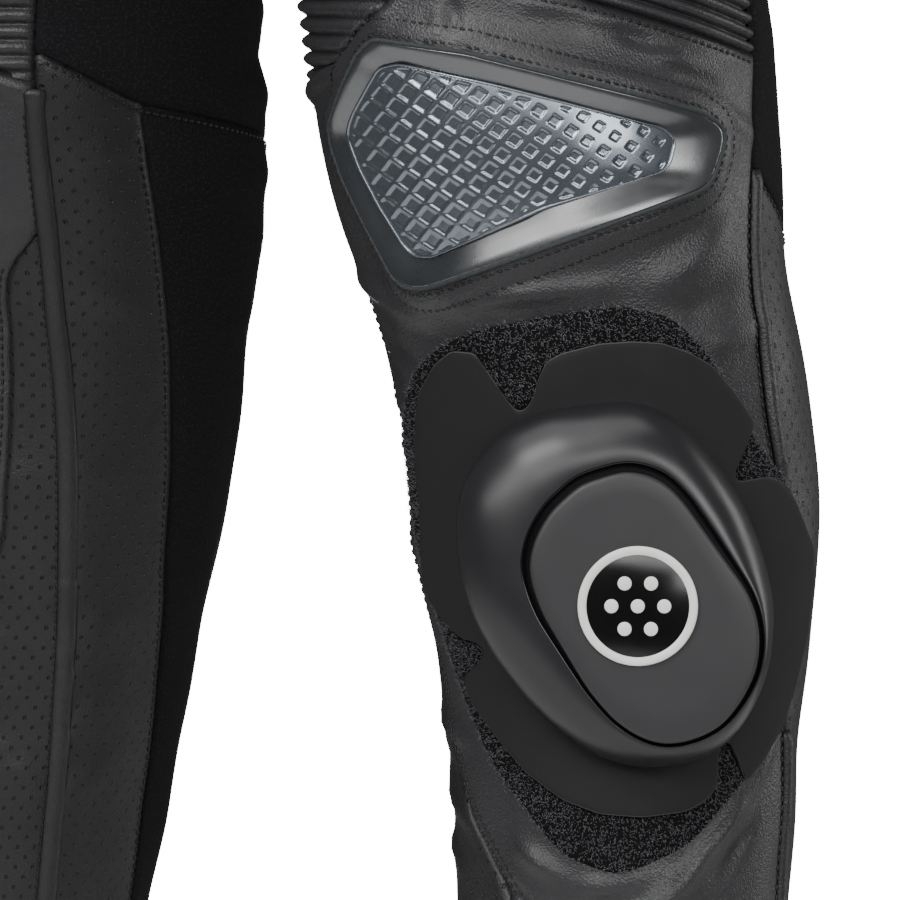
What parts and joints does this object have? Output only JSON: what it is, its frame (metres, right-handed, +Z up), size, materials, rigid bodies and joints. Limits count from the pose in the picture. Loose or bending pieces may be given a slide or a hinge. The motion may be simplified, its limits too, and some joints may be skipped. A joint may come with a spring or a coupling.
{
  "type": "leather motorcycle pants",
  "caption": "Black leather motorcycle pants, hollow and standing as worn, with ribbed knees, moulded knee plates and stuck-on knee sliders.",
  "frame": {"origin": "centre of the waist opening, level with the top edge of the waistband", "axes": "+Z up along the garment, the front faces -Y, the wearer's left leg is at +X"},
  "size_m": [0.558, 0.2829, 0.9848],
  "materials": {
    "black_leather": "black cowhide with a fine grain",
    "perforated_leather": "black cowhide with rows of small punched holes",
    "stretch_cloth": "near black woven stretch cloth",
    "satin_frame": "satin dark grey moulded frame",
    "gloss_insert": "glossy smoky grey moulded insert",
    "loop_pile": "fuzzy black loop pile",
    "base_rubber": "thin matte flexible base",
    "slider_plastic": "dark grey satin moulded plastic",
    "badge_white": "white and black plain round badge",
    "snap_metal": "blackened snap cap"
  },
  "bodies": {
    "root": {"thigh_front_L": "black_leather", "thigh_back_L": "black_leather", "thigh_gusset_L": "stretch_cloth", "knee_ribs_inner_L": "black_leather", "knee_ribs_outer_L": "black_leather", "knee_centre_L": "black_leather", "knee_back_L": "stretch_cloth", "shin_front_L": "black_leather", "shin_outer_L": "perforated_leather", "calf_back_L": "stretch_cloth", "calf_inner_L": "perforated_leather", "shin_inner_L": "perforated_leather", "piping_outer_knee_L": "black_leather", "piping_outer_shin_L": "black_leather", "piping_inner_L": "black_leather", "plate_frame_L": "satin_frame", "plate_insert_L": "gloss_insert", "loop_patch_L": "loop_pile", "slider_base_L": "base_rubber", "slider_body_L": "slider_plastic", "slider_face_L": "slider_plastic", "slider_badge_L": "badge_white", "thigh_front_R": "black_leather", "thigh_back_R": "black_leather", "thigh_gusset_R": "stretch_cloth", "knee_ribs_inner_R": "black_leather", "knee_ribs_outer_R": "black_leather", "knee_centre_R": "black_leather", "knee_back_R": "stretch_cloth", "shin_front_R": "black_leather", "shin_outer_R": "perforated_leather", "calf_back_R": "stretch_cloth", "calf_inner_R": "perforated_leather", "shin_inner_R": "perforated_leather", "piping_outer_knee_R": "black_leather", "piping_outer_shin_R": "black_leather", "piping_inner_R": "black_leather", "plate_frame_R": "satin_frame", "plate_insert_R": "gloss_insert", "loop_patch_R": "loop_pile", "slider_base_R": "base_rubber", "slider_body_R": "slider_plastic", "slider_face_R": "slider_plastic", "slider_badge_R": "badge_white", "waistband": "black_leather", "waist_tab": "black_leather", "fly_flap": "black_leather", "waist_snap": "snap_metal"}
  },
  "joints": []
}
